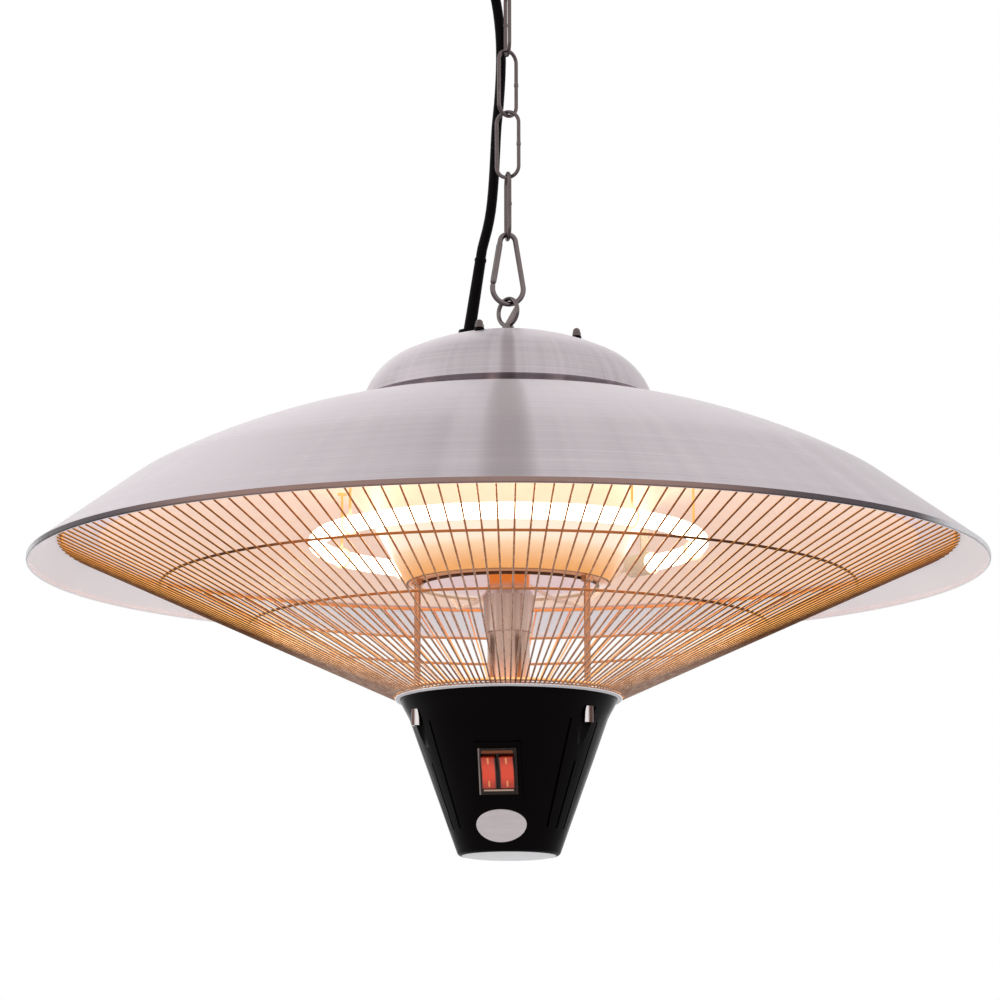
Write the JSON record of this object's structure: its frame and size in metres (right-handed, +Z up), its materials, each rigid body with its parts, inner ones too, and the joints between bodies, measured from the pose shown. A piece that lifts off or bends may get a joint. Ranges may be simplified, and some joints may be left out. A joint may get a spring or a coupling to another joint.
{
  "type": "hanging halogen heater",
  "caption": "Hanging halogen heater: brushed steel shade, ring lamp behind a wire guard, black control housing, and a chain with snap hook and ceiling hook.",
  "frame": {"origin": "on the axis of the ceiling hook's screw shank, in the plane of its collar's top face, where it meets the ceiling", "axes": "+Z up along the shank, -Y towards the heater's front with its switch and badge, +X to the right of a person who faces the front"},
  "size_m": [0.6, 0.6, 0.7176],
  "materials": {
    "zinc_steel": "zinc plated",
    "chain_steel": "bright zinc",
    "chrome": "polished",
    "brushed_shell": "spun and brushed in rings",
    "reflector": "bright, lit warm by the lamp",
    "quartz": "gold coated quartz",
    "filament": "glowing tungsten",
    "ceramic": "white ceramic",
    "lead_sleeve": "woven glass sleeve",
    "column_steel": "satin",
    "dark_wire": "dark",
    "guard_wire": "bright wire",
    "black_plastic": "satin black moulding",
    "switch_plastic": "satin",
    "red_plastic": "clear red, gloss",
    "badge_plate": "satin",
    "white_lens": "milky",
    "board": "circuit board",
    "black_rubber": "satin",
    "tie_plastic": "satin",
    "plug_plastic": "satin"
  },
  "bodies": {
    "ceiling_hook": {"ceiling_hook": "zinc_steel"},
    "link_6": {"chain_link_6": "chain_steel"},
    "link_5": {"chain_link_5": "chain_steel", "power_cord": "black_rubber", "cord_coil": "black_rubber", "cord_tie": "tie_plastic", "plug_body": "plug_plastic", "plug_pins": "chrome"},
    "link_4": {"chain_link_4": "chain_steel"},
    "link_3": {"chain_link_3": "chain_steel"},
    "link_2": {"chain_link_2": "chain_steel"},
    "link_1": {"chain_link_1": "chain_steel"},
    "snap_hook": {"snap_hook_body": "chrome", "gate_pin": "zinc_steel"},
    "gate": {"snap_hook_gate": "chrome"},
    "heater": {"eye_bolt": "chrome", "eye_nut": "zinc_steel", "cap_dome": "brushed_shell", "cap_spacers": "zinc_steel", "cap_bolts": "zinc_steel", "cap_washers": "black_rubber", "cap_nuts": "chrome", "shade": "brushed_shell", "reflector": "reflector", "lamp_tube": "quartz", "lamp_filament": "filament", "lamp_ends": "ceramic", "lamp_clips": "zinc_steel", "lamp_leads": "lead_sleeve", "column_tube": "column_steel", "column_collar": "column_steel", "support_rods": "zinc_steel", "rod_nuts": "zinc_steel", "stay_rings": "dark_wire", "guard_wires": "guard_wire", "guard_top_ring": "guard_wire", "guard_upper_ring": "guard_wire", "guard_lower_ring": "guard_wire", "guard_bottom_ring": "guard_wire", "base_plate": "guard_wire", "control_housing": "black_plastic", "sleeve_nuts": "chrome", "switch_frame": "switch_plastic", "badge": "badge_plate", "light_lens": "white_lens", "led_board": "board", "terminal_block": "ceramic", "thermal_cutout": "switch_plastic", "inner_cable": "black_rubber", "cable_gland": "black_plastic", "cord_boot": "black_rubber"},
    "rocker_left": {"rocker_left": "red_plastic"},
    "rocker_right": {"rocker_right": "red_plastic"}
  },
  "joints": [
    {"name": "swing_front", "type": "hinge", "parent": "ceiling_hook", "child": "link_6", "pos_m": [0, 0, -0.0511], "axis": [1, 0, 0], "range_deg": [-12, 12]},
    {"name": "swing_side", "type": "hinge", "parent": "link_6", "child": "link_5", "pos_m": [0, 0, -0.0897], "axis": [0, 1, 0], "range_deg": [-12, 12]},
    {"name": "chain_twist", "type": "hinge", "parent": "link_5", "child": "snap_hook", "pos_m": [0, 0, -0.2921], "axis": [0, 0, 1], "range_deg": [-150, 30], "deforming": ["power_cord"]},
    {"name": "twist_link_4", "type": "hinge", "parent": "link_5", "child": "link_4", "pos_m": [0, 0, -0.149], "axis": [0, 0, 1], "range_deg": [-30, 6]},
    {"name": "twist_link_3", "type": "hinge", "parent": "link_5", "child": "link_3", "pos_m": [0, 0, -0.1894], "axis": [0, 0, 1], "range_deg": [-60, 12]},
    {"name": "twist_link_2", "type": "hinge", "parent": "link_5", "child": "link_2", "pos_m": [0, 0, -0.2298], "axis": [0, 0, 1], "range_deg": [-90, 18]},
    {"name": "twist_link_1", "type": "hinge", "parent": "link_5", "child": "link_1", "pos_m": [0, 0, -0.2702], "axis": [0, 0, 1], "range_deg": [-120, 24]},
    {"name": "heater_tilt", "type": "hinge", "parent": "snap_hook", "child": "heater", "pos_m": [0, 0, -0.3337], "axis": [0.9304, 0.3665, 0], "range_deg": [-12, 12], "deforming": ["cord_boot"]},
    {"name": "gate_hinge", "type": "hinge", "parent": "snap_hook", "child": "gate", "pos_m": [-0.00877, -0.00346, -0.31948], "axis": [-0.3665, 0.9304, 0], "range_deg": [0, 20], "stiffness_Nm_per_rad": 0.02, "springref_deg": -20.05},
    {"name": "rocker_left_switch", "type": "hinge", "parent": "heater", "child": "rocker_left", "pos_m": [-0.00545, -0.04773, -0.63515], "axis": [1, 0, 0], "range_deg": [-16, 0]},
    {"name": "rocker_right_switch", "type": "hinge", "parent": "heater", "child": "rocker_right", "pos_m": [0.00545, -0.04773, -0.63515], "axis": [1, 0, 0], "range_deg": [-16, 0]}
  ],
  "couplings": [
    {"joint": "twist_link_4", "follows": "chain_twist", "ratio": 0.2},
    {"joint": "twist_link_3", "follows": "chain_twist", "ratio": 0.4},
    {"joint": "twist_link_2", "follows": "chain_twist", "ratio": 0.6},
    {"joint": "twist_link_1", "follows": "chain_twist", "ratio": 0.8}
  ]
}
